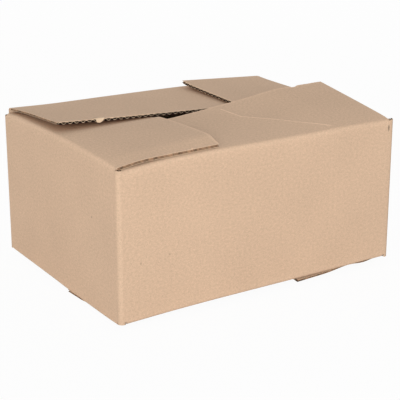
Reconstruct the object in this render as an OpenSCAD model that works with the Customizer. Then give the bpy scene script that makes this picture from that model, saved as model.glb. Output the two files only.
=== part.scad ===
// Slotted shipping carton of single-wall corrugated board, folded from one blank.
// The four flaps at the top, and the four at the bottom, are tucked under one another in a ring:
// each lies over the next one at one end and under the last one at the other.
// +X runs along the long walls, +Y to the back, and Z = 0 is the surface that the carton stands on.

/* [Carton] */
// Outside length, along the long walls
length = 310; // [280:1:360]
// Outside width, along the short walls
width = 232; // [226:1:280]
// Height of an upright corner edge, from slot end to slot end
height = 144; // [90:1:240]
// Outside radius of the upright corners
corner_r = 4; // [3.5:0.1:5]
// Outside radius of the folds between the walls and the flaps
fold_r = 4; // [3.5:0.1:5]

/* [Board] */
// Thickness of the corrugated board
board_t = 3; // [2.6:0.1:3.4]
// Distance from one flute of the board to the next
flute_pitch = 6.8; // [6:0.1:8]
// Thickness of each facing sheet of the board
liner_t = 0.45; // [0.3:0.05:0.6]
// Thickness of the wavy sheet between the two facings
medium_t = 0.4; // [0.3:0.05:0.6]
// How far in from a flap's free edge the flutes are open
flute_reach = 12; // [6:1:20]
// Depth of the groove that the wavy sheet leaves along a flap's side edges
groove_reach = 1.6; // [1:0.1:3]
// Thickness of the board at a flap's side edges, which the cutting of the slots has crushed
crushed_t = 2; // [1.6:0.1:2.5]
// Width of the crushed strip along a flap's side edge
crushed_w = 3.5; // [2:0.5:5]

/* [Flaps] */
// Distance between the free edges of the two long flaps, at the top and at the bottom
middle_gap = 16; // [6:1:40]
// Width of the slots between neighbouring flaps
slot_w = 8; // [6:0.5:10]
// Inset of the bottom flaps' side edges, which clear the folds of the flaps that they cross
tuck_inset = 8; // [6:0.5:12]
// Gap between two flaps where one crosses the other
flap_gap = 0.3; // [0.2:0.05:0.8]

/* [Glue tab] */
// How far the back wall's cut edge stays from the outer face of the right wall, which bends in under it
joint_inset = 1.5; // [0.5:0.1:3]
// Width of the tab, glued to the inside of the back wall
tab_w = 34; // [25:1:45]
// How much shorter the tab is at its free edge than at its root, at each end
tab_taper = 8; // [4:1:15]

/* [Hidden] */

kraft = "burlywood";
fold_steps = 4;
// Widest flat strip that a curved flap is made of
strip_w = 34;
// How far cutting shapes run past a surface, and joined parts into one another
edge_slack = 1;
// Corners of the flutes and grooves are rounded to this step, which keeps their sides flat
point_step = 0.01;
// Every flap has the same reach from its wall
flap_len = (width - middle_gap) / 2;
// One layer is the step between two flaps that cross
layer = board_t + flap_gap;
// The walls between the slots, which the flaps' skirts carry on to the folds
skirt = 9;
slot_inset = slot_w / 2 + board_t / 2;

// Places along a flap at which its height is given, as its two ends, the free edges of the flaps
// that it crosses, and a point between each. The last end may be cut shorter.
function stations(wall, inset, between, shorter = 0) =
    let (end = wall / 2 - inset, edge = wall / 2 - flap_len, mid = end - between * (end - edge))
    [-end, -mid, -edge, edge, mid, end - shorter];

function long_stations(inset) = stations(length, inset, 0.5);
function short_stations(inset, shorter = 0) = stations(width, inset, 0.2, shorter);

// Each flap is a list of rows. A row is its reach from the wall and the heights there, in layers
// above the slot ends, at the six stations. Rows run anticlockwise seen from above, so that at the
// top the first end is tucked under and the last end lies over. The first row is the fold.
top_front = [
    [0, [-0.7, 0.2, 0.55, 0.8, 1, 0.7]],
    [flap_len, [0.36, 1.03, 1.62, 4, 5.25, 5.8]]
];
top_right = [
    [0, [-0.55, -0.3, 0.1, 0.15, 0.28, 0.5]],
    [flap_len, [-0.36, 0.25, 2.1, 2.2, 2.7, 3.2]]
];
top_back = [
    [0, [-0.9, -0.1, 0.6, 1.1, 1.37, 2]],
    [0.4 * flap_len, [-0.9, 0, 0.8, 1.8, 2.4, 3.1]],
    [flap_len, [-0.9, 0.06, 1, 2.57, 3.45, 4.45]]
];
top_left = [
    [0, [0.4, 0.9, 1.55, 1.6, 1.1, 0.6]],
    [0.25 * flap_len, [0.12, 0.7, 1.5, 1.97, 2.18, 1.6]],
    [flap_len, [0.06, 0.42, 1.5, 2.7, 3.6, 2.1]]
];
// The bottom flaps' rows are in layers below the slot ends, and their first end lies outermost.
// Opposite flaps are alike. Their last ends are pushed in close to the folds, and their first ends
// sag towards the free edges.
lowest = 1.45;
bottom_long = [
    [0, [0.25, -0.1, -0.3, -0.45, -0.5, -0.45]],
    [tuck_inset, [0.3, 0.1, -0.1, -0.6, -1.15, -1.35]],
    [flap_len, [lowest, 1.1, 0.8, -0.42, -0.73, -0.97]]
];
bottom_short = [
    [0, [-0.2, -0.1, 0.35, 0.4, 0.5, 0.4]],
    [tuck_inset, [-0.3, -0.2, 0.1, 0, -0.66, -0.78]],
    [0.4 * flap_len, [-0.1, -0.06, 0.3, -0.09, -0.79, -0.92]],
    [0.65 * flap_len, [1, 0.6, 0.45, -0.16, -0.87, -1.02]],
    [flap_len, [lowest, 1.05, 0.67, -0.27, -0.95, -1.15]]
];
// Slot ends above or below the corner edges' nominal tops: front left, front right, back right, back left
slot_ends = [0, 0, -5, -1];

// Height of the bottom slot ends, so that the lowest flap corners touch Z = 0
base_z = lowest * layer;

// Smooth curve through values v at places s, which never overshoots them
function secant(s, v, i) = (v[i + 1] - v[i]) / (s[i + 1] - s[i]);
function tangent(s, v, i) =
    i == 0 ? secant(s, v, 0) :
    i == len(s) - 1 ? secant(s, v, i - 1) :
    let (a = secant(s, v, i - 1), b = secant(s, v, i)) a * b <= 0 ? 0 : 2 * a * b / (a + b);
function segment(s, x, i = 0) = i >= len(s) - 2 || x <= s[i + 1] ? i : segment(s, x, i + 1);
function curve_at(s, v, x) =
    let (i = segment(s, x), h = s[i + 1] - s[i], f = (x - s[i]) / h)
    v[i] * (1 + 2 * f) * (1 - f) * (1 - f) + tangent(s, v, i) * h * f * (1 - f) * (1 - f)
    + v[i + 1] * f * f * (3 - 2 * f) - tangent(s, v, i + 1) * h * f * f * (1 - f);

// Places at which the flap's surface is computed: each stretch between stations in two or more
// strips, and the crushed strips along the side edges
function strips(s) = [
    for (i = [0:len(s) - 2]) let (w = s[i + 1] - s[i], parts = max(2, ceil(w / strip_w)))
        for (k = [0:parts - 1]) s[i] + w * k / parts
];
function fine_places(s) =
    let (first = s[0], last = s[len(s) - 1], inner = [for (u = strips(s)) if (u > first) u])
    concat([first, first + crushed_w], inner, [last - crushed_w, last]);

// The rows as lines of the outer surface: [reach, [[place, height], ...]]
function surface_lines(rows, s) = [
    for (row = rows) [row[0], [for (u = fine_places(s)) [u, layer * curve_at(s, row[1], u)]]]
];
function places(lines) = [for (point = lines[0][1]) point[0]];
function ends(lines) = [min(places(lines)), max(places(lines))];

// Height of the outer surface at place u and reach d, beyond the fold
function surface_at(lines, u, d) = lookup(d, [
    for (k = [0:len(lines) - 1]) [k == 0 ? fold_r : lines[k][0], lookup(u, lines[k][1])]
]);

// Thickness of the board at place u
function thickness(lines, u) = u == ends(lines)[0] || u == ends(lines)[1] ? crushed_t : board_t;

// Outer or inner side of the board at place u, from the wall below the slots round the fold and
// out to the free edge, as [distance from the wall's outer face, height over the slot ends]
function section(lines, u, in) =
    let (fold = lookup(u, lines[0][1]), r = fold_r - in)
    concat(
        [[in, -skirt - edge_slack]],
        [for (k = [0:fold_steps]) let (a = 90 * k / fold_steps)
            [fold_r - r * cos(a), fold - fold_r + r * sin(a)]],
        [for (k = [1:len(lines) - 1]) [lines[k][0], lookup(u, lines[k][1]) - in]]
    );

// One flap with its skirt of wall: place along X, reach along Y, height along Z
module sheet(lines) {
    outer = [for (u = places(lines)) for (p = section(lines, u, 0)) [u, p[0], p[1]]];
    inner = [for (u = places(lines)) for (p = section(lines, u, thickness(lines, u))) [u, p[0], p[1]]];
    n = len(section(lines, 0, 0));
    m = len(places(lines));
    half = n * m;
    last = m - 1;
    polyhedron(points = concat(outer, inner), faces = concat(
        [for (j = [0:m - 2], i = [0:n - 2]) each let (a = j * n + i)
            [[a, a + 1, a + n], [a + 1, a + n + 1, a + n]]],
        [for (j = [0:m - 2], i = [0:n - 2]) each let (a = half + j * n + i)
            [[a, a + n, a + 1], [a + 1, a + n, a + n + 1]]],
        [for (j = [0:m - 2]) each let (a = j * n)
            [[a, a + n, half + a], [a + n, half + a + n, half + a]]],
        [for (j = [0:m - 2]) each let (a = j * n + n - 1)
            [[a, half + a, a + n], [a + n, half + a, half + a + n]]],
        [for (i = [0:n - 2]) each [[i, half + i, i + 1], [i + 1, half + i, half + i + 1]]],
        [for (i = [0:n - 2]) each let (a = last * n + i)
            [[a, a + 1, half + a], [a + 1, half + a + 1, half + a]]]
    ));
}

// Prism with a triangle at one end, run along a vector
function on_grid(v) = [for (x = v) round(x / point_step) * point_step];
module prism(triangle, run) {
    near = [for (p = triangle) on_grid(p)];
    far = [for (p = near) p + on_grid(run)];
    hull() polyhedron(points = concat(near, far), faces = [[0, 1, 2], [3, 5, 4]]);
}

// An open flute: its base lies on one facing and its ridge on the other
module flute(lines, u, base_in, ridge_in) {
    half_base = flute_pitch / 2 - medium_t;
    rise = surface_at(lines, u, flap_len - flute_reach) - surface_at(lines, u, flap_len);
    inwards = [0, -flute_reach, rise];
    slack = inwards * edge_slack / flute_reach;
    mouth = [
        for (corner = [[-half_base, base_in], [half_base, base_in], [0, ridge_in]])
            [u + corner[0], flap_len, surface_at(lines, u + corner[0], flap_len) - corner[1]] - slack
    ];
    prism(mouth, inwards + slack);
}

// The flutes along the free edge, base up and base down by turns
module flutes(lines) {
    full = ends(lines)[1] - ends(lines)[0] - 2 * crushed_w;
    count = floor(full / flute_pitch - 0.5);
    first = (ends(lines)[0] + ends(lines)[1] - (count - 0.5) * flute_pitch) / 2;
    high = liner_t;
    low = board_t - liner_t;
    for (k = [0:count - 1]) {
        flute(lines, first + k * flute_pitch, high, low - medium_t);
        flute(lines, first + (k + 0.5) * flute_pitch, low, high + medium_t);
    }
}

// The groove along a side edge, where the cut leaves the last flute open; side is -1 or 1
module groove(lines, side) {
    end = side < 0 ? ends(lines)[0] : ends(lines)[1];
    reaches = concat([fold_r], [for (k = [1:len(lines) - 1]) lines[k][0]]);
    for (k = [0:len(reaches) - 2]) {
        start = [end, reaches[k], surface_at(lines, end, reaches[k])];
        stop = [end, reaches[k + 1], surface_at(lines, end, reaches[k + 1])];
        corners = [
            [edge_slack, liner_t], [edge_slack, crushed_t - liner_t], [-groove_reach, crushed_t / 2]
        ];
        mouth = [for (corner = corners) start + [side * corner[0], 0, -corner[1]]];
        past = k == len(reaches) - 2 ? edge_slack / (stop[1] - start[1]) : 0;
        prism(mouth, (stop - start) * (1 + past));
    }
}

module flap(rows, s) {
    lines = surface_lines(rows, s);
    difference() {
        sheet(lines);
        flutes(lines);
        groove(lines, -1);
        groove(lines, 1);
    }
}

// Places a flap, drawn inwards from a wall along X, on the front, right, back or left wall
module on_wall(side) {
    depth = side % 2 == 0 ? width : length;
    rotate([0, 0, 90 * side]) translate([0, -depth / 2, 0]) children();
}

module top_flaps() {
    translate([0, 0, base_z + height]) {
        on_wall(0) flap(top_front, long_stations(slot_inset));
        on_wall(1) flap(top_right, short_stations(slot_inset, board_t));
        on_wall(2) flap(top_back, long_stations(slot_inset));
        on_wall(3) flap(top_left, short_stations(slot_inset));
    }
}

module bottom_flaps() {
    for (half_turn = [0, 180]) rotate([0, 0, half_turn]) translate([0, 0, base_z]) mirror([0, 0, 1]) {
        on_wall(0) flap(bottom_long, long_stations(tuck_inset));
        on_wall(3) flap(bottom_short, short_stations(tuck_inset, half_turn == 0 ? 0 : board_t));
    }
}

module rounded_plan(in) {
    r = corner_r - in;
    x = length / 2 - corner_r;
    y = width / 2 - corner_r;
    hull() for (i = [-1, 1], j = [-1, 1]) translate([i * x, j * y]) circle(r, $fn = 24);
}

// Plan of the joint, with its origin at the outer corner: the back wall ends in a cut edge, and the
// right wall bends in under it and becomes the tab
module joint_plan() {
    translate([-joint_inset - corner_r, -board_t]) square([corner_r, board_t]);
    translate([-2 * slot_inset, -2 * board_t]) square([2 * slot_inset - corner_r, board_t]);
    translate([-corner_r, -board_t - corner_r]) intersection() {
        difference() {
            circle(corner_r, $fn = 24);
            circle(corner_r - board_t, $fn = 24);
        }
        square(corner_r);
    }
}

module wall_plan() {
    corner = [length / 2, width / 2];
    difference() {
        rounded_plan(0);
        rounded_plan(board_t);
        translate(corner - [corner_r, corner_r + board_t]) square([corner_r, corner_r + board_t]);
    }
    translate(corner) joint_plan();
}

// The four walls, from one row of slots to the other
module walls() {
    translate([0, 0, base_z + skirt]) linear_extrude(height - 2 * skirt) wall_plan();
}

// The upright corners, which end at the slots
module corners() {
    x = length / 2 - slot_inset;
    y = width / 2 - slot_inset;
    places = [[-x, -y], [x, -y], [x, y], [-x, y]];
    for (i = [0:3])
        translate([0, 0, base_z]) linear_extrude(height + slot_ends[i]) intersection() {
            wall_plan();
            translate(places[i]) square(2 * slot_inset, center = true);
        }
}

// The end of the right wall, folded round the corner and glued inside the back wall
module glue_tab() {
    root = length / 2 - corner_r;
    low = base_z + skirt + edge_slack;
    high = base_z + height - skirt - edge_slack;
    free = root - tab_w;
    translate([0, width / 2 - board_t, 0]) rotate([90, 0, 0]) linear_extrude(board_t)
        polygon([
            [root, low], [root, high],
            [free, high - tab_taper], [free, low + tab_taper]
        ]);
}

module carton() {
    color(kraft) union() {
        walls();
        corners();
        glue_tab();
        top_flaps();
        bottom_flaps();
    }
}

carton();
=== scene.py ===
"""A closed carton of corrugated board: its sheet with bent folds, cut edges and open flutes, its
kraft surface, the light and the camera."""

import math

import bpy
import numpy as np
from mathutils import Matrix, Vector


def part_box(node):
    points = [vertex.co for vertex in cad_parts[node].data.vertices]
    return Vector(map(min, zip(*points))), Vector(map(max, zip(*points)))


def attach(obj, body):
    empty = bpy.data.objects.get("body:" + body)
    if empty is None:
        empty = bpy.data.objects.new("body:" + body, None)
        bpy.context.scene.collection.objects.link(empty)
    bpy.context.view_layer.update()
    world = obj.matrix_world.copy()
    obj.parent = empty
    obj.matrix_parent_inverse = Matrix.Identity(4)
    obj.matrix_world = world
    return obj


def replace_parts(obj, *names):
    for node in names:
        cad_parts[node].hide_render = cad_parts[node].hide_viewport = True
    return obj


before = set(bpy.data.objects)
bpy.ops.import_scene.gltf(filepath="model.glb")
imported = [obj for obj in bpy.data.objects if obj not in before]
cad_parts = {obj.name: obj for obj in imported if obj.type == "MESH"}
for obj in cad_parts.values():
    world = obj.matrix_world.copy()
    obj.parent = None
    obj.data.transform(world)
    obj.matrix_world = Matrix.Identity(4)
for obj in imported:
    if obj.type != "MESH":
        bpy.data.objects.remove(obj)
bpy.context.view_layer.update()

# Sizes are in millimetres until a mesh is made
MM = 0.001
low, high = (np.array(corner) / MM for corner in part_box("carton"))
LENGTH, WIDTH = (high - low)[:2]
HEIGHT = 144.0

# Thickness of the board, of a facing and of the wavy sheet between the facings, and a wave's length
BOARD = 3.0
LINER = 0.32
MEDIUM = 0.4
PITCH = 6.8

# Outside radius of the folds and of the upright corners
FOLD_R = 4.0
CORNER_R = 4.0

# Gap between the free edges in the middle, reach of every flap from its wall's outer face, and one
# millimetre of that reach in rows
MIDDLE_GAP = 16.0
FLAP = (WIDTH - MIDDLE_GAP) / 2
REACH_STEP = 1 / (FLAP - FOLD_R)

# Height of one layer of the flaps, and how many layers the flaps hang below the walls
LAYER = 3.3
LOWEST = 1.45
BASE_Z = LOWEST * LAYER
TOP_Z = BASE_Z + HEIGHT

# How far in from the wall's ends the side edges of its top flap and of its bottom flap lie
SLOT_INSET = 5.5
TUCK_INSET = 8.0

# The glued joint: how far in the back wall's cut edge lies, the tab's width, and how much of that
# width is bent in together with the corner
JOINT_INSET = 1.5
TAB_W = 34.0
TAB_ROOT = 7.5

# Side edges that the cutting of the slots has crushed: their thickness, how wide the crushed strip
# is, the row of the wall where it starts and the rows over which it grows, and the share of the
# crushing at the front side edge of the left flap
CRUSHED_T = 2.0
CRUSHED_W = 3.5
CRUSHED_ROW, CRUSHED_RUN = 0.93, 0.07
LESS_CRUSHED = 0.15

# Depth of the open flutes behind a free edge and of the groove in a side edge, and how far in from
# that groove the corners of the open part and the wavy sheet lie
OPEN_DEPTH = 14.0
SIDE_DEPTH = 0.9
MOUTH_INSET = 0.6
WAVE_INSET = 0.7

# Reach at which the front flap's fold is full, where it bears the left flap
SHOULDER = 7.5
# How much narrower the front flap is at its raised corner
TAPER = 2.8
# How much rounder the right flap's fold is at its back end
ROUNDER = 4.0
# How far the right flap's free corner is set back, and the places between which that grows
SET_BACK = 2.8
SET_BACK_FROM, SET_BACK_TO = -40.0, 108.0
# How far the front bottom flap's free corner flares out, the row where that starts and the rows
# over which it grows
FLARE = 5.0
FLARE_ROW, FLARE_RUN = 2.45, 0.3
# Roughness of the free edges, and the front flap's notch: its depth, place and half width
ROUGH = 0.16
NOTCH, NOTCH_PLACE, NOTCH_W = 2.6, 110.0, 4.5
# How far to each side a bend in a flap is eased
EASE = 7.0
# Depth of the walls' dents, how much it swings, and how far from the wall's edges they are full
DENT, DENT_SWING, DENT_BORDER = 0.45, 0.2, 25.0

# Crease across the front flap, as (place along the wall, reach), and its ridge's height and width
CREASE = [(15.5, 97), (16.3, 90.8), (20, 68.6), (33, 55.5), (45.5, 44), (60.6, 28), (82, 8)]
RIDGE, RIDGE_W = 0.6, 3.5

# Sides of the carton, anticlockwise seen from above, the names of their pieces, and how high the
# upper and the lower slots end over the walls' plain ends, at the corner before each side
FRONT, RIGHT, BACK, LEFT = range(4)
PANELS = {FRONT: "panel_front", RIGHT: "panel_right", BACK: "panel_back", LEFT: "panel_left"}
SLOT_ENDS = {FRONT: 0.0, RIGHT: 1.8, BACK: -5.0, LEFT: -1.0}
LOW_SLOT_ENDS = {FRONT: 0.6, RIGHT: 2.6, BACK: 2.6, LEFT: 2.4}

# Heights of the flaps over the walls' plain ends, in layers: (reach, heights at the stations)
TOP_ROWS = {
    FRONT: [
        (0.0, [-0.25, 0.85, 1.05, 0.85, 1, 0.7]),
        (SHOULDER, [-0.2, 0.9, 1.2, 1.0, 1.27, 1.03]),
        (FLAP, [0.36, 1.03, 1.62, 4.12, 5.7, 5.8]),
    ],
    RIGHT: [
        (0.0, [-0.55, -0.3, 0.1, 0.42, 0.58, 0.78]),
        (FLAP, [-0.36, 0.25, 2.1, 2.2, 2.6, 2.95]),
    ],
    BACK: [
        (0.0, [-0.9, -0.1, 0.6, 1.05, 1.22, 1.78]),
        (0.4 * FLAP, [-0.9, 0, 0.8, 1.8, 2.4, 3.1]),
        (FLAP, [-0.9, 0.06, 1, 2.57, 3.45, 4.45]),
    ],
    LEFT: [
        (0.0, [0.4, 0.9, 1.55, 1.6, 1.1, 0.6]),
        (0.25 * FLAP, [0.12, 0.7, 1.5, 1.97, 2.18, 1.6]),
        (FLAP, [0.06, 0.42, 1.5, 2.7, 3.6, 2.1]),
    ],
}
BOTTOM_LONG = [
    (0.0, [0.1, -0.35, -0.55, -0.62, -0.68, -0.8]),
    (TUCK_INSET, [0.3, 0.1, -0.1, -0.6, -1.15, -1.35]),
    (FLAP, [LOWEST, 1.1, 0.8, -0.42, -0.73, -0.97]),
]
BOTTOM_SHORT = [
    (0.0, [-0.2, -0.1, 0.35, 0.5, 0.7, 0.6]),
    (TUCK_INSET, [-0.3, -0.2, 0.1, 0, -0.66, -0.78]),
    (0.24 * FLAP, [0.65, -0.13, 0.2, -0.05, -0.72, -0.85]),
    (0.4 * FLAP, [-0.1, -0.06, 0.3, -0.09, -0.79, -0.92]),
    (0.65 * FLAP, [1, 0.6, 0.45, -0.16, -0.87, -1.02]),
    (FLAP, [LOWEST, 1.05, 0.67, -0.27, -0.95, -1.15]),
]


def grids(*values):
    """The values as arrays of one shape"""
    return np.broadcast_arrays(*(np.asarray(value, float) for value in values))


def spaced(start, stop, step):
    return np.linspace(start, stop, max(2, round(abs(stop - start) / step) + 1))


def is_long(side):
    return side % 2 == 0


def wall_length(side):
    return LENGTH if is_long(side) else WIDTH


def stations(side, top):
    """Places along a flap at which its rows give its height. The right flaps stop short of the
    glued joint."""
    end = wall_length(side) / 2 - (SLOT_INSET if top else TUCK_INSET)
    edge = wall_length(side) / 2 - FLAP
    share = 0.5 if is_long(side) else 0.2
    mid = end - share * (end - edge)
    return np.array([-end, -mid, -edge, edge, mid, end - (BOARD if side == RIGHT else 0)])


def ends(side, top):
    s = stations(side, top)
    return s[0], s[-1]


def rows_of(side, top):
    if top:
        return TOP_ROWS[side]
    return BOTTOM_LONG if is_long(side) else BOTTOM_SHORT


def smooth_curve(s, v, x):
    """Smooth curve through values v at places s, which never overshoots them"""
    v = np.array(v)
    secant = np.diff(v) / np.diff(s)
    a, b = secant[:-1], secant[1:]
    inner = np.where(a * b > 0, 2 * a * b / np.where(a + b == 0, 1, a + b), 0)
    tangent = np.concatenate([secant[:1], inner, secant[-1:]])
    i = np.clip(np.searchsorted(s, x) - 1, 0, len(s) - 2)
    h = s[i + 1] - s[i]
    f = (x - s[i]) / h
    return (
        v[i] * (1 + 2 * f) * (1 - f) ** 2
        + tangent[i] * h * f * (1 - f) ** 2
        + v[i + 1] * f * f * (3 - 2 * f)
        - tangent[i + 1] * h * f * f * (1 - f)
    )


def crease_ridge(u, q):
    """Height of the low ridge along the crease"""
    away = np.full(np.broadcast(u, q).shape, np.inf)
    for (u_a, q_a), (u_b, q_b) in zip(CREASE, CREASE[1:]):
        du, dq = u_b - u_a, q_b - q_a
        share = np.clip(((u - u_a) * du + (q - q_a) * dq) / (du ** 2 + dq ** 2), 0, 1)
        away = np.minimum(away, np.hypot(u - u_a - share * du, q - q_a - share * dq))
    return RIDGE * np.exp(-away / RIDGE_W)


def fold_radius(side, top, u):
    """Outside radius of a fold at place u. The right top flap's grows towards the back."""
    if side == RIGHT and top:
        return FOLD_R + ROUNDER * np.clip(u / ends(RIGHT, True)[1], 0, 1)
    return np.full(np.shape(u), FOLD_R)


def flap_height(side, top, u, q):
    """Height of a flap's outer surface over the wall's plain end, at place u and reach q. Its bends
    are eased."""
    rows, s = rows_of(side, top), stations(side, top)
    u = np.clip(u, s[0], s[-1])
    lines = [LAYER * smooth_curve(s, heights, u) for _, heights in rows]
    fold_r = fold_radius(side, top, u)
    reaches = [fold_r] + [reach for reach, _ in rows[1:]]

    def straight(at):
        total = lines[0] + 0 * at
        for k in range(len(lines) - 1):
            slope = (lines[k + 1] - lines[k]) / (reaches[k + 1] - reaches[k])
            total = total + slope * np.clip(at - reaches[k], 0, reaches[k + 1] - reaches[k])
        return total

    ease = np.clip(np.minimum(q - fold_r, FLAP - q), 0, EASE)
    ridge = crease_ridge(u, q) if side == FRONT and top else 0
    return (straight(q - ease) + 2 * straight(q) + straight(q + ease)) / 4 + ridge


def turned(side, x, y, z):
    """From a wall's own frame, X along it and Y inwards from its outer face, to the carton's"""
    y = y - (WIDTH if is_long(side) else LENGTH) / 2
    c, s = [(1, 0), (0, 1), (-1, 0), (0, -1)][side]
    return np.stack(np.broadcast_arrays(c * x - s * y, s * x + c * y, z), -1)


def dents(side, u, z):
    """Depth of a wall's shallow dents, which fade out at its edges"""
    from_end = wall_length(side) / 2 - SLOT_INSET - np.abs(u)
    from_fold = HEIGHT / 2 - np.abs(z - BASE_Z - HEIGHT / 2)
    fade = np.clip(from_end / DENT_BORDER, 0, 1) * np.clip(from_fold / DENT_BORDER, 0, 1)
    k = 1 + 0.3 * side
    broad = np.sin(u / 61 + z / 47 * k + side)
    swing = np.sin(u / 37 * k + 1.3 * side) * np.sin(z / 29 + 2.1 * side) + broad
    return fade * (DENT + DENT_SWING * swing)


def set_back(side, top, u):
    """How far a free edge is set back at place u. It is rough, the front top flap's has a notch,
    and the right top flap's recedes towards its free corner."""
    rough = np.abs(np.sin(u / 1.9 + side) + np.sin(u / 3.1 + 2 * side) + np.sin(u / 7.3))
    amount = ROUGH * rough
    if top and side == FRONT:
        amount = amount + NOTCH * np.exp(-(((u - NOTCH_PLACE) / NOTCH_W) ** 4))
    if top and side == RIGHT:
        share = (u - SET_BACK_FROM) / (SET_BACK_TO - SET_BACK_FROM)
        amount = amount + SET_BACK * np.clip(share, 0, 1)
    return amount


def sheet_point(side, u, t, d):
    """Point of the sheet at place u, row t and depth d. The rows run from -3 to -2 in the bottom
    flap, to -1 in its fold, to 1 in the wall, to 2 in the top fold and to 3 in the top flap."""
    u, t, d = grids(u, t, d)
    y, z = np.zeros(u.shape), np.zeros(u.shape)
    starts = {}
    for top in (False, True):
        sign = 1 if top else -1
        level = TOP_Z if top else BASE_Z
        row = sign * t
        r = fold_radius(side, top, u)
        fold = flap_height(side, top, u, r)
        starts[top] = level + sign * (fold - r)
        angle = np.clip(row - 1, 0, 1) * math.pi / 2
        bent = row > 1
        y = np.where(bent, r - (r - d) * np.cos(angle), y)
        z = np.where(bent, level + sign * (fold - r + (r - d) * np.sin(angle)), z)
        q = r + np.clip(row - 2, 0, 1) * (FLAP - r - set_back(side, top, u))
        flat = row > 2
        y = np.where(flat, q, y)
        z = np.where(flat, level + sign * (flap_height(side, top, u, q) - d), z)
    in_wall = np.abs(t) <= 1
    wall_z = starts[False] + (starts[True] - starts[False]) * (t + 1) / 2
    y = np.where(in_wall, d + dents(side, u, wall_z), y)
    z = np.where(in_wall, wall_z, z)
    return turned(side, u, y, z)


def board_centre(side):
    """Middle of a wall along the blank, which starts at the glued joint with the back wall"""
    walls = [wall_length(BACK + k) for k in range((side - BACK) % 4 + 1)]
    return sum(walls) - (walls[0] + walls[-1]) / 2


def sheet_place(side, u, t, d):
    """Place on the board itself: along the walls, along the flutes, and depth"""
    u, t, d = grids(u, t, d)
    arc = FOLD_R * math.pi / 2
    row = np.abs(t)
    wall = np.minimum(row, 1) * (HEIGHT / 2 - FOLD_R)
    along = wall + np.clip(row - 1, 0, 1) * arc + np.clip(row - 2, 0, 1) * (FLAP - FOLD_R)
    return np.stack([board_centre(side) + u, np.sign(t) * along, d], -1)


# Surfaces of the board, in the order of a piece's materials
FACE, CUT, PAINTED_SHADE, TORN_AND_SHADE = range(4)
# Angle between faces, in degrees, from which an edge is sharp
SHARP_FROM = 38


class Piece:
    """Vertices, faces, places on the board, and wear with painted highlight and shade, of one
    piece, gathered part by part
    """

    def __init__(self, name):
        self.name = name
        self.points, self.places, self.wear_and_light = [], [], []
        self.faces, self.kinds = [], []
        self.count = 0

    def add(self, points, places, wear_and_light, faces, kinds):
        self.points.append(points)
        self.places.append(places)
        self.wear_and_light.append(wear_and_light)
        self.faces.append(faces + self.count)
        self.kinds.append(kinds)
        self.count += len(points)

    def finish(self, materials):
        mesh = bpy.data.meshes.new(self.name)
        faces = np.concatenate(self.faces)
        mesh.from_pydata((np.concatenate(self.points) * MM).tolist(), [], faces.tolist())
        place = mesh.attributes.new("board_place", "FLOAT_VECTOR", "POINT")
        place.data.foreach_set("vector", np.concatenate(self.places).astype(np.float32).ravel())
        # Per point: wear with painted highlight on folds and free edges, and painted shade on the
        # upright corners' bends
        wear_and_light = mesh.attributes.new("wear_and_light", "FLOAT", "POINT")
        wear_and_light.data.foreach_set("value", np.concatenate(self.wear_and_light).astype(np.float32))
        for material in materials:
            mesh.materials.append(material)
        kinds = np.concatenate(self.kinds).astype(np.int32)
        mesh.polygons.foreach_set("material_index", kinds)
        mesh.polygons.foreach_set("use_smooth", np.ones(len(faces), bool))
        mesh.set_sharp_from_angle(angle=math.radians(SHARP_FROM))
        mesh.validate()
        piece = bpy.data.objects.new(self.name, mesh)
        bpy.context.scene.collection.objects.link(piece)
        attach(piece, "root")
        return piece


def quads(a):
    """Faces of a grid of vertex numbers"""
    return np.stack([a[:-1, :-1], a[1:, :-1], a[1:, 1:], a[:-1, 1:]], -1).reshape(-1, 4)


def band(a, b):
    """Faces between two closed rings of vertex numbers"""
    return np.stack([a, b, np.roll(b, -1), np.roll(a, -1)], -1)


def ring_of(n, m):
    """Grid positions round the edge of an n by m grid, once"""
    ring = [(i, 0) for i in range(n)] + [(n - 1, j) for j in range(1, m)]
    ring += [(i, m - 1) for i in range(n - 2, -1, -1)] + [(0, j) for j in range(m - 2, 0, -1)]
    return np.array(ring).T


def joined(function, parts):
    """A function of place, row and depth at all the parts, one point after the other"""
    return np.concatenate([function(*part).reshape(-1, 3) for part in parts])


def kinds_of(faces, kinds):
    """The kind of each face, from lists of faces and of their kinds"""
    return np.concatenate([np.broadcast_to(kind, len(f)) for f, kind in zip(faces, kinds)])


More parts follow.
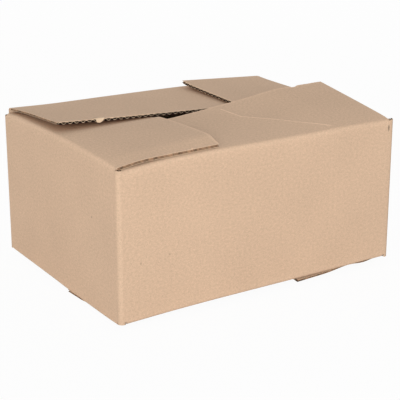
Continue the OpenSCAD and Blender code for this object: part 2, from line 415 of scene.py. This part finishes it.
def add_board(piece, point, place, us, ts, inset, wear_and_light, inner_rim=TORN_AND_SHADE):
    """A stretch of board over places us and rows ts. Between its facings it is open all round, as
    deep as inset says, in places at its sides and in rows at its ends."""
    n, m = len(us), len(ts)
    u, t = np.meshgrid(us, ts, indexing="ij")
    ring = tuple(ring_of(n, m))
    edge_u, edge_t = us[ring[0]], ts[ring[1]]
    on_side = (edge_t > ts[0]) & (edge_t < ts[-1])
    aside = inset[0] + np.where(on_side, 0.0, MOUTH_INSET)
    in_u = np.clip(edge_u, us[0] + aside, us[-1] - aside)
    in_t = np.where(on_side, edge_t, np.clip(edge_t, ts[0] + inset[1], ts[-1] - inset[1]))
    parts = [
        (u, t, 0.0), (u, t, BOARD),
        (edge_u, edge_t, LINER), (in_u, in_t, LINER),
        (in_u, in_t, BOARD - LINER), (edge_u, edge_t, BOARD - LINER),
    ]
    # Wear with its painted highlight and shade, at every point
    wear = [np.broadcast_to(wear_and_light(a, b), np.shape(a)).ravel() for a, b, _ in parts]
    outer = np.arange(n * m).reshape(n, m)
    inner = outer + n * m
    count = len(edge_u)
    loops = [2 * n * m + k * count + np.arange(count) for k in range(4)]
    rims = [outer[ring]] + loops + [inner[ring]]
    side_edge = (edge_u == np.roll(edge_u, -1)) & ((edge_u == us[0]) | (edge_u == us[-1]))
    # A side edge's groove is plain up to the folds and torn in the flaps.
    # Torn grooves are partly painted shade, and open flutes are painted dark as shade.
    recess = np.where(side_edge, np.where(np.abs(edge_t) < 2, FACE, TORN_AND_SHADE), PAINTED_SHADE)
    faces = [quads(outer), quads(inner)[:, ::-1]] + [band(a, b) for a, b in zip(rims, rims[1:])]
    kinds = [FACE, FACE, CUT, recess, recess, recess, np.where(side_edge, CUT, inner_rim)]
    piece.add(
        joined(point, parts), joined(place, parts), np.concatenate(wear),
        np.concatenate(faces), kinds_of(faces, kinds),
    )


def add_slab(piece, point, place, us, ts, upper, lower, kind=PAINTED_SHADE):
    """A thin sheet of one kind over places us and rows ts, between depths upper and lower, given
    for each place. Its edge has the surface of a cut."""
    n, m = len(us), len(ts)
    u, t = np.meshgrid(us, ts, indexing="ij")
    parts = [(u, t, depth[:, None]) for depth in (upper, lower)]
    outer = np.arange(n * m).reshape(n, m)
    inner = outer + n * m
    ring = tuple(ring_of(n, m))
    faces = [quads(outer), quads(inner)[:, ::-1], band(outer[ring], inner[ring])]
    piece.add(
        joined(point, parts), joined(place, parts), np.zeros(2 * n * m),
        np.concatenate(faces), kinds_of(faces, (kind, kind, CUT)),
    )


def wave_depth(side, u):
    """Depth of the wavy sheet's middle at place u. Its crests sink a little into the facings."""
    sunk, shift = 0.02, 0.17 * side
    swing = (BOARD - 2 * LINER - MEDIUM) / 2 + sunk
    return BOARD / 2 + swing * np.sin(2 * math.pi * (u / PITCH + shift))


# The wavy sheet between the facings gets the dark painted shade of the open flutes
def add_flutes(piece, side, us, ts, point, place):
    middle = wave_depth(side, us)
    add_slab(piece, point, place, us, ts, middle - MEDIUM / 2, middle + MEDIUM / 2)


def spread(side, u, t):
    """Place u of the top flap, carried over to row t. The bottom flaps are narrower, the front
    one's free corner at the left flares out, and the front top flap tapers at its raised corner."""
    first, last = ends(side, True)
    low_first, low_last = ends(side, False)
    share = np.clip(-t - 1, 0, 1)
    start, stop = first + (low_first - first) * share, last + (low_last - last) * share
    if side == FRONT:
        far = np.clip((-t - FLARE_ROW) / FLARE_RUN, 0, 1)
        start = start - FLARE * far * far * (3 - 2 * far)
        stop = stop - TAPER * np.clip(t - 2, 0, 1) ** 1.5
    return start + (u - first) * (stop - start) / (last - first)


def crushed(side, u, t, d):
    """Depth d, less where the cutting of the slots has crushed a flap's side edge"""
    first, last = (spread(side, end, t) for end in ends(side, True))
    near = 1 - np.clip(np.minimum(u - first, last - u) / CRUSHED_W, 0, 1)
    if side == LEFT:
        near = np.where((t > 0) & (u > 0), LESS_CRUSHED * near, near)
    in_flap = np.clip((np.abs(t) - CRUSHED_ROW) / CRUSHED_RUN, 0, 1)
    return d * (1 - (1 - CRUSHED_T / BOARD) * near * in_flap)


# Wear with a painted highlight: the rows over which it fades from the middle of a fold, the lengths
# over which it fades in the flap and in the wall beside a fold and in from a free edge, and how
# much that edge has
FOLD_WEAR_AND_HIGHLIGHT, FLAP_WEAR_AND_HIGHLIGHT, WALL_WEAR_AND_HIGHLIGHT, EDGE_WEAR_AND_HIGHLIGHT = 0.6, 6, 4, 3.2
EDGE_WEAR_AND_HIGHLIGHT_MOST = 2.2


def panel_wear_and_highlight(u, t):
    """Wear and painted highlight of a wall and its flaps: one on the folds, and most at the free
    edges
    """
    row = np.abs(t)
    fold = np.exp(-((row - 1.5) / FOLD_WEAR_AND_HIGHLIGHT) ** 2) * (row > 1)
    flap = np.exp(-np.clip(row - 2, 0, None) * (FLAP - FOLD_R) / FLAP_WEAR_AND_HIGHLIGHT) * (row >= 2)
    wall = np.exp(-np.clip(1 - row, 0, None) * HEIGHT / 2 / WALL_WEAR_AND_HIGHLIGHT) * (row <= 1)
    free = EDGE_WEAR_AND_HIGHLIGHT_MOST * np.clip(1 - (3 - row) / REACH_STEP / EDGE_WEAR_AND_HIGHLIGHT, 0, 1)
    return np.maximum(np.maximum(fold, free), 0.5 * np.maximum(flap, wall))


def make_panel(side, name, materials):
    """One wall with its top and bottom flaps"""
    piece = Piece(name)

    def point(u, t, d):
        u = spread(side, u, t)
        return sheet_point(side, u, t, crushed(side, u, t, d))

    def place(u, t, d):
        return sheet_place(side, spread(side, u, t), t, d)

    first, last = ends(side, True)
    half = 0.5 * CRUSHED_W
    step_across, step_along, fold_steps, wall_steps, wave_steps = 2.3, 4, 7, 38, 12
    middle = spaced(first + CRUSHED_W, last - CRUSHED_W, step_across)
    us = np.concatenate([[first, first + half], middle, [last - half, last]])
    fold_rows = spaced(1, 2, 1 / fold_steps)[1:-1]
    flap_rows = spaced(2, 3 - 6 * REACH_STEP, step_along * REACH_STEP)
    edge_rows = 3 - REACH_STEP * np.array([3, 1, 0])
    upper = np.concatenate([fold_rows, flap_rows, edge_rows])
    ts = np.concatenate([-upper[::-1], spaced(-1, 1, 2 / wall_steps), upper])
    inset = (SIDE_DEPTH, OPEN_DEPTH * REACH_STEP)
    # Lower rims at the free edges get painted shade, darkest at the back flap
    inner_rim = PAINTED_SHADE if side == BACK else TORN_AND_SHADE
    add_board(piece, point, place, us, ts, inset, panel_wear_and_highlight, inner_rim)
    aside = SIDE_DEPTH + WAVE_INSET
    fine = spaced(first + aside, last - aside, PITCH / wave_steps)
    mouth = 3 - REACH_STEP * np.array([OPEN_DEPTH + 1, 8, 3, 0.25])
    for rows in (-mouth[::-1], mouth):
        add_flutes(piece, side, fine, rows, point, place)
    add_corner(piece, side)
    if side == BACK:
        add_tongue(piece)
    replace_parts(piece.finish(materials), "carton")


def add_tongue(piece):
    """A torn tongue of the back flap's outer facing, which curls down over its free edge"""
    middle, half, narrowing, thickness = 104.0, 5.5, 0.25, 0.35
    start, length, paper_length = FLAP - 4.0, 5.0, 8
    drop, hump, raised = 4.2, 0.5, 0.3

    def point(a, b, d):
        a, b, d = grids(a, b, d)
        bend = b * math.pi / 2
        reach = start + length * np.sin(bend)
        fall = drop * (1 - np.cos(bend)) * (0.8 + 0.35 * a - 0.5 * a ** 2)
        lift = hump * np.sin(math.pi * b) - fall
        u = middle + half * a * (1 - narrowing * b)
        height = flap_height(BACK, True, u, np.minimum(reach, FLAP))
        return turned(BACK, u, reach, TOP_Z + height + lift + raised - d * thickness)

    def place(a, b, d):
        a, b, d = grids(a, b, d)
        return np.stack([half * a, paper_length * b, d], -1)

    across, along = np.linspace(-1, 1, 12), np.linspace(0, 1, 10)
    none, full = np.zeros(len(across)), np.ones(len(across))
    add_slab(piece, point, place, across, along, none, full, CUT)


def corner_plan(s, d):
    """Plan of a corner in the frame of the wall before it, where s runs from that wall's slot round
    to the next wall's"""
    straight = SLOT_INSET - CORNER_R
    arc = CORNER_R * math.pi / 2
    angle = np.clip((s - straight) / arc, 0, 1) * math.pi / 2
    before, after = np.minimum(s - straight, 0), np.maximum(s - straight - arc, 0)
    x = before + (CORNER_R - d) * np.sin(angle)
    y = CORNER_R - (CORNER_R - d) * np.cos(angle) + after
    return x, y


def add_corner(piece, side):
    """The upright corner between this wall and the next, from slot to slot. At the glued joint the
    sheet bends in under the back wall's cut edge and runs on as the root of the tab."""
    joint = side == RIGHT
    straight = SLOT_INSET - CORNER_R
    run = straight + CORNER_R * math.pi / 2 + (TAB_ROOT if joint else straight)
    start = ends(side, True)[1]
    bottom = BASE_Z + LOW_SLOT_ENDS[(side + 1) % 4]
    top = TOP_Z + SLOT_ENDS[(side + 1) % 4]

    def level(t):
        return bottom + (top - bottom) * t

    def point(s, t, d):
        s, t, d = grids(s, t, d)
        x, y = corner_plan(s, d)
        return turned(side, x + start + SLOT_INSET - CORNER_R, y, level(t))

    def place(s, t, d):
        s, t, d = grids(s, t, d)
        along = board_centre(side) + start + s * 2 * SLOT_INSET / run
        return np.stack([along, (t - 0.5) * HEIGHT, d], -1)

    def wear_and_light(s, t):
        """Below zero: painted shade, so that the bend is darker than the walls"""
        deepest, width = -0.5, 3.0
        return np.exp(-(((s - run / 2) / width) ** 2)) * deepest

    ts = spaced(0, 1, 1 / 40)
    step, fine_step, margin, open_rows = 0.7, 0.5, 0.05, 0.04
    add_board(piece, point, place, spaced(0, run, step), ts, (1.0, open_rows), wear_and_light)
    fine = spaced(margin, run - margin, fine_step)
    for rows in ([0.002, 0.02, 0.05], [0.95, 0.98, 0.998]):
        add_flutes(piece, side, fine, np.array(rows), point, place)
    if not joint:
        return

    def edge_point(u, t, d):
        return turned(BACK, u, d, level(t))

    def edge_place(u, t, d):
        u, t, d = grids(u, t, d)
        return np.stack([board_centre(BACK) + u, (t - 0.5) * HEIGHT, d], -1)

    cut_end, slot_end = JOINT_INSET - LENGTH / 2, ends(BACK, True)[0]
    edge_us, inset, wear, behind = spaced(cut_end, slot_end, 1), (1.5, open_rows), 0.3, 0.3
    add_board(piece, edge_point, edge_place, edge_us, ts, inset, lambda u, t: wear)
    fine = spaced(cut_end + behind, slot_end, fine_step)
    add_flutes(piece, BACK, fine, ts, edge_point, edge_place)


def make_tab(materials):
    """The glue tab inside the back wall, from its root at the joint to its free end. Its upper and
    lower edges slant, and stop short of the wall's."""
    taper, skirt, gap = 8.0, 10.0, 0.02
    root = LENGTH / 2 - CORNER_R - TAB_ROOT

    def point(u, t, d):
        u, t, d = grids(u, t, d)
        reach = skirt + taper * (u + TAB_ROOT) / TAB_W
        z = BASE_Z + reach + (HEIGHT - 2 * reach) * t
        return np.stack([root - u, WIDTH / 2 - BOARD - d - gap, z], -1)

    tab = Piece("glue_tab")
    us, ts = spaced(TAB_W - TAB_ROOT, 0, 3), spaced(0, 1, 0.1)
    add_board(tab, point, point, us, ts, (2.0, 0.1), lambda u, t: 0.0)
    tab.finish(materials)


class Nodes:
    """Short calls for building the node tree of a material or of the world"""

    def __init__(self, owner, output):
        owner.use_nodes = True
        self.tree = owner.node_tree
        self.tree.nodes.clear()
        self.output = self.tree.nodes.new(output)

    def new(self, kind, inputs=None, **settings):
        node = self.tree.nodes.new(kind)
        for key, value in settings.items():
            setattr(node, key, value)
        for key, value in (inputs or {}).items():
            self.put(node.inputs[key], value)
        return node

    def put(self, socket, value):
        if isinstance(value, bpy.types.NodeSocket):
            self.tree.links.new(value, socket)
        else:
            socket.default_value = value

    def show(self, shader):
        self.put(self.output.inputs["Surface"], shader.outputs[0])

    def math(self, operation, a, b=0.0, c=0.0, clamp=False):
        node = self.new("ShaderNodeMath", {0: a, 1: b, 2: c}, operation=operation)
        node.use_clamp = clamp
        return node.outputs[0]

    def vector(self, operation, a, b, output="Vector"):
        node = self.new("ShaderNodeVectorMath", {0: a, 1: b}, operation=operation)
        return node.outputs[output]

    def times(self, vector, factor):
        node = self.new("ShaderNodeVectorMath", {0: vector, "Scale": factor}, operation="SCALE")
        return node.outputs["Vector"]

    def noise(self, place, scales, detail, roughness=0.55):
        """Noise about zero"""
        node = self.new("ShaderNodeTexNoise", {
            "Vector": self.vector("MULTIPLY", place, scales), "Scale": 1.0,
            "Detail": detail, "Roughness": roughness,
        })
        return self.math("SUBTRACT", node.outputs["Fac"], 0.5)


def linear_colour(rgb):
    """Colour for a shader from the colour as it is seen, with parts from 0 to 255"""
    parts = (part / 255 for part in rgb)
    return [p / 12.92 if p <= 0.04045 else ((p + 0.055) / 1.055) ** 2.4 for p in parts]


def crease_line(n, place):
    """One along the crease, falling to zero beside it, for a painted highlight"""
    half_width = 1.2
    before_flap = HEIGHT / 2 - FOLD_R + FOLD_R * math.pi / 2
    points = [
        Vector((board_centre(FRONT) + u, before_flap + reach - FOLD_R, 0)) for u, reach in CREASE
    ]
    distance = None
    for a, b in zip(points, points[1:]):
        run = b - a
        away = n.vector("SUBTRACT", place, a)
        along = n.vector("DOT_PRODUCT", away, run, "Value")
        share = n.math("DIVIDE", along, run.length_squared, clamp=True)
        gap = n.vector("DISTANCE", away, n.times(run, share), "Value")
        distance = gap if distance is None else n.math("MINIMUM", distance, gap)
    return n.math("SUBTRACT", 1.0, n.math("DIVIDE", distance, half_width), clamp=True)


# Small marks on the outer facing, some of them painted shadows: wall, place along it, height over
# its middle, half width, half height, and tone
MARKS_AND_PAINTED_SHADOWS = [
    (LEFT, 65.5, 14.5, 1.0, 0.8, -0.3),
    (FRONT, -133.0, -16.8, 0.9, 0.9, -0.3),
    (FRONT, -103.0, -15.5, 0.8, 0.8, -0.25),
    # Painted shadow in a slit by the right upright corner
    (FRONT, 148.0, 63.5, 1.0, 2.8, -0.6),
    (LEFT, 109.8, 150.0, 1.0, 1.0, 0.4),
    (BACK, 105.5, 171.5, 2.4, 0.8, -0.4),
    # Painted shadows on the bottom flaps' corners under the walls
    (RIGHT, -107.0, -175.0, 3.0, 5.0, -0.55),
    (FRONT, -110.0, -168.0, 4.0, 14.0, -0.35),
    # Painted shadows at the lower ends of the front left corner's slots
    (FRONT, -149.0, -71.0, 1.8, 1.3, -0.45),
    (LEFT, 110.5, -71.0, 1.3, 1.5, -0.4),
]


def marks_and_shadows_tone(n, place):
    """Sum of the marks' tones, painted shadows among them. A mark is full up to half its size and
    gone at one and a half.
    """
    gone, total = 1.5, 0.0
    for side, u, height, half_u, half_v, tone in MARKS_AND_PAINTED_SHADOWS:
        away = n.vector("SUBTRACT", place, Vector((board_centre(side) + u, height, 0)))
        scaled = n.vector("MULTIPLY", away, (1 / half_u, 1 / half_v, 1))
        size = n.new("ShaderNodeVectorMath", {0: scaled}, operation="LENGTH").outputs["Value"]
        share = n.math("SUBTRACT", gone, size, clamp=True)
        total = n.math("MULTIPLY_ADD", share, tone, total)
    return total


# Surfaces of the board: name, colour, contrast of the texture, and strength of its dashes
SURFACES = {
    FACE: ("kraft_face", (203, 173, 146), 1.0, 0.0),
    CUT: ("kraft_cut", (222, 196, 166), 1.6, 0.0),
    # Painted shade: open flutes, wavy sheet and the back flap's lower rim are kraft darkened as
    # shade
    PAINTED_SHADE: ("kraft_painted_shade", (46, 19, 8), 1.2, 0.0),
    # Crushed and torn side grooves and the other lower rims, with dashes, darkened partly as
    # painted shade
    TORN_AND_SHADE: ("kraft_torn_and_shade", (147, 117, 92), 2.2, 3.2),
}

# Mottling, grain and fibres of the paper: scales along the wall, up it and in depth, detail,
# roughness, share in the tone and share in the relief
PAPER = [
    ((0.36, 0.45, 0.3), 4.0, 0.65, 0.48, 0.05),
    ((0.9, 1.3, 1.0), 2.0, 0.6, 0.55, 0.06),
    ((0.35, 3.4, 1.0), 3.0, 0.6, 0.22, 0.05),
]
# Shares of the other features in the tone, and of the flutes that show through in the relief
# Of these, the wear share also carries painted highlight and shade, and the crease share a painted
# highlight
CLOUD_TONE, FLUTE_TONE, WEAR_AND_LIGHT_TONE, SPECK_TONE, CREASE_TONE = 0.12, 0.009, 0.08, -0.22, 0.6
FLUTE_RELIEF = 0.02
# Size of a speck in its cell, and the value that a cell needs to have one
SPECK_SIZE, SPECK_PICK = 0.06, 0.8
# Scales of the clouds, of the patches where the flutes show, of the dashes and of the specks
CLOUD_SCALES, PATCH_SCALES = (0.018, 0.018, 0.1), (0.02, 0.012, 0.1)
DASH_SCALES, SPECK_SCALES = (0.05, 0.2, 0.0), (0.16, 0.3, 0.3)


def specks(n, place):
    """One in a few dark specks, else zero"""
    scaled = n.vector("MULTIPLY", place, SPECK_SCALES)
    cells = n.new("ShaderNodeTexVoronoi", {"Vector": scaled, "Scale": 1.0})
    near = n.math("LESS_THAN", cells.outputs["Distance"], SPECK_SIZE)
    value = n.new("ShaderNodeSeparateColor", {0: cells.outputs["Color"]}).outputs[0]
    return n.math("MULTIPLY", near, n.math("GREATER_THAN", value, SPECK_PICK))


def kraft_material(name, colour, contrast, dashes):
    """Kraft paper with clouds, mottling, fibres and specks, the flutes that show through, and
    painted highlights, shade and shadows
    """
    material = bpy.data.materials.new(name)
    n = Nodes(material, "ShaderNodeOutputMaterial")
    place = n.new("ShaderNodeAttribute", attribute_name="board_place").outputs["Vector"]
    wear_and_light = n.new("ShaderNodeAttribute", attribute_name="wear_and_light").outputs["Fac"]
    along = n.new("ShaderNodeSeparateXYZ", {0: place}).outputs["X"]
    patchy = n.math("ADD", n.noise(place, PATCH_SCALES, 1.0), 0.5)
    flutes = n.math("SINE", n.math("MULTIPLY", along, 2 * math.pi / PITCH))
    flutes = n.math("MULTIPLY", flutes, patchy)
    tone = n.math("MULTIPLY", n.noise(place, CLOUD_SCALES, 2.0), CLOUD_TONE * contrast)
    relief = n.math("MULTIPLY", flutes, FLUTE_RELIEF)
    for scales, detail, roughness, tone_share, relief_share in PAPER:
        field = n.noise(place, scales, detail, roughness)
        tone = n.math("MULTIPLY_ADD", field, tone_share * contrast, tone)
        relief = n.math("MULTIPLY_ADD", field, relief_share, relief)
    crease = n.math("MULTIPLY", crease_line(n, place), patchy)
    tone = n.math("MULTIPLY_ADD", flutes, FLUTE_TONE * contrast, tone)
    # Painted highlight on the folds and free edges, with their wear, and painted shade on the
    # upright corners' bends
    tone = n.math("MULTIPLY_ADD", wear_and_light, WEAR_AND_LIGHT_TONE, tone)
    tone = n.math("MULTIPLY_ADD", specks(n, place), SPECK_TONE, tone)
    # Painted highlight along the crease
    tone = n.math("MULTIPLY_ADD", crease, CREASE_TONE, tone)
    tone = n.math("ADD", tone, marks_and_shadows_tone(n, place))
    if dashes:
        tone = n.math("MULTIPLY_ADD", n.noise(place, DASH_SCALES, 2.0, 0.7), dashes, tone)
    bump = n.new("ShaderNodeBump", {"Height": relief, "Strength": 1.0, "Distance": MM})
    n.show(n.new("ShaderNodeBsdfPrincipled", {
        "Base Color": n.times(linear_colour(colour), n.math("ADD", tone, 1.0)),
        "Roughness": 0.86, "Specular IOR Level": 0.25, "Normal": bump.outputs[0],
    }))
    return material


def direction(azimuth, elevation):
    """Unit vector away from the carton at two angles in radians. Azimuth zero is straight out from
    the front wall."""
    flat = math.cos(elevation)
    return Vector((math.sin(azimuth) * flat, -math.cos(azimuth) * flat, math.sin(elevation)))


def stand(name, data, location, back):
    """An object at a location, in metres, that looks against the direction back"""
    thing = bpy.data.objects.new(name, data)
    thing.location = location
    thing.rotation_mode = "QUATERNION"
    thing.rotation_quaternion = back.to_track_quat("Z", "Y")
    bpy.context.scene.collection.objects.link(thing)
    return thing


def make_camera():
    """The camera, at the photograph's viewing angle and with its frame"""
    azimuth, elevation = math.radians(-32.72), math.radians(18.65)
    distance, aside, raised = 1265.2, 0.0093 * LENGTH, -0.0438 * LENGTH
    focal_pixels, frame_pixels, sensor = 1257.1, 400, 36
    back = direction(azimuth, elevation)
    right = Vector((math.cos(azimuth), math.sin(azimuth), 0))
    aim = Vector((0, 0, BASE_Z + HEIGHT / 2)) + right * aside + back.cross(right) * raised
    data = bpy.data.cameras.new("camera")
    data.sensor_width = sensor
    data.lens = focal_pixels / frame_pixels * sensor
    data.clip_start, data.clip_end = 0.05, 50
    bpy.context.scene.camera = stand("camera", data, (aim + back * distance) * MM, back)


def make_light(name, azimuth, elevation, distance, size, energy):
    """A square lamp that shines on the middle of the carton. Distance and size are in metres."""
    middle = Vector((0, 0, 0.07))
    back = direction(math.radians(azimuth), math.radians(elevation))
    data = bpy.data.lights.new(name, "AREA")
    data.shape = "SQUARE"
    data.size = size
    data.energy = energy
    stand(name, data, back * distance + middle, back)


def seen_share(n):
    """One for rays that show a thing to the camera, straight or in gloss or glass, else zero"""
    rays = n.new("ShaderNodeLightPath").outputs
    mirrored = n.math("MAXIMUM", rays["Is Glossy Ray"], rays["Is Transmission Ray"])
    return n.math("MAXIMUM", rays["Is Camera Ray"], mirrored)


def make_surroundings():
    """White floor and world. What the camera sees of them is white, and the floor keeps the
    carton's shadow."""
    world_light, floor_white, floor_glow, floor_size = 0.55, 0.8, 0.95, 6.0
    world = bpy.data.worlds.new("world")
    bpy.context.scene.world = world
    n = Nodes(world, "ShaderNodeOutputWorld")
    white = (1, 1, 1, 1)
    soft = n.new("ShaderNodeBackground", {"Color": white, "Strength": world_light})
    plain = n.new("ShaderNodeBackground", {"Color": white, "Strength": 1.0})
    n.show(n.new("ShaderNodeMixShader", {
        0: seen_share(n), 1: soft.outputs[0], 2: plain.outputs[0],
    }))

    material = bpy.data.materials.new("floor_white")
    n = Nodes(material, "ShaderNodeOutputMaterial")
    diffuse = n.new("ShaderNodeBsdfDiffuse", {"Color": (floor_white, floor_white, floor_white, 1)})
    glow = n.new("ShaderNodeEmission", {"Color": white, "Strength": 1.0})
    share = n.math("MULTIPLY", seen_share(n), floor_glow)
    n.show(n.new("ShaderNodeMixShader", {
        0: share, 1: diffuse.outputs[0], 2: glow.outputs[0],
    }))
    mesh = bpy.data.meshes.new("floor")
    corners = [(x * floor_size, y * floor_size, 0) for x, y in ((-1, -1), (1, -1), (1, 1), (-1, 1))]
    mesh.from_pydata(corners, [], [(0, 1, 2, 3)])
    mesh.materials.append(material)
    floor = bpy.data.objects.new("floor", mesh)
    bpy.context.scene.collection.objects.link(floor)


make_camera()
materials = [kraft_material(*SURFACES[kind]) for kind in (FACE, CUT, PAINTED_SHADE, TORN_AND_SHADE)]
for side, name in PANELS.items():
    make_panel(side, name, materials)
make_tab(materials)
make_surroundings()
make_light("key_light", azimuth=-37, elevation=12, distance=3.4, size=1.9, energy=91)
make_light("back_light", azimuth=140, elevation=30, distance=2.4, size=1.5, energy=9)
bpy.context.scene.view_settings.view_transform = "Standard"
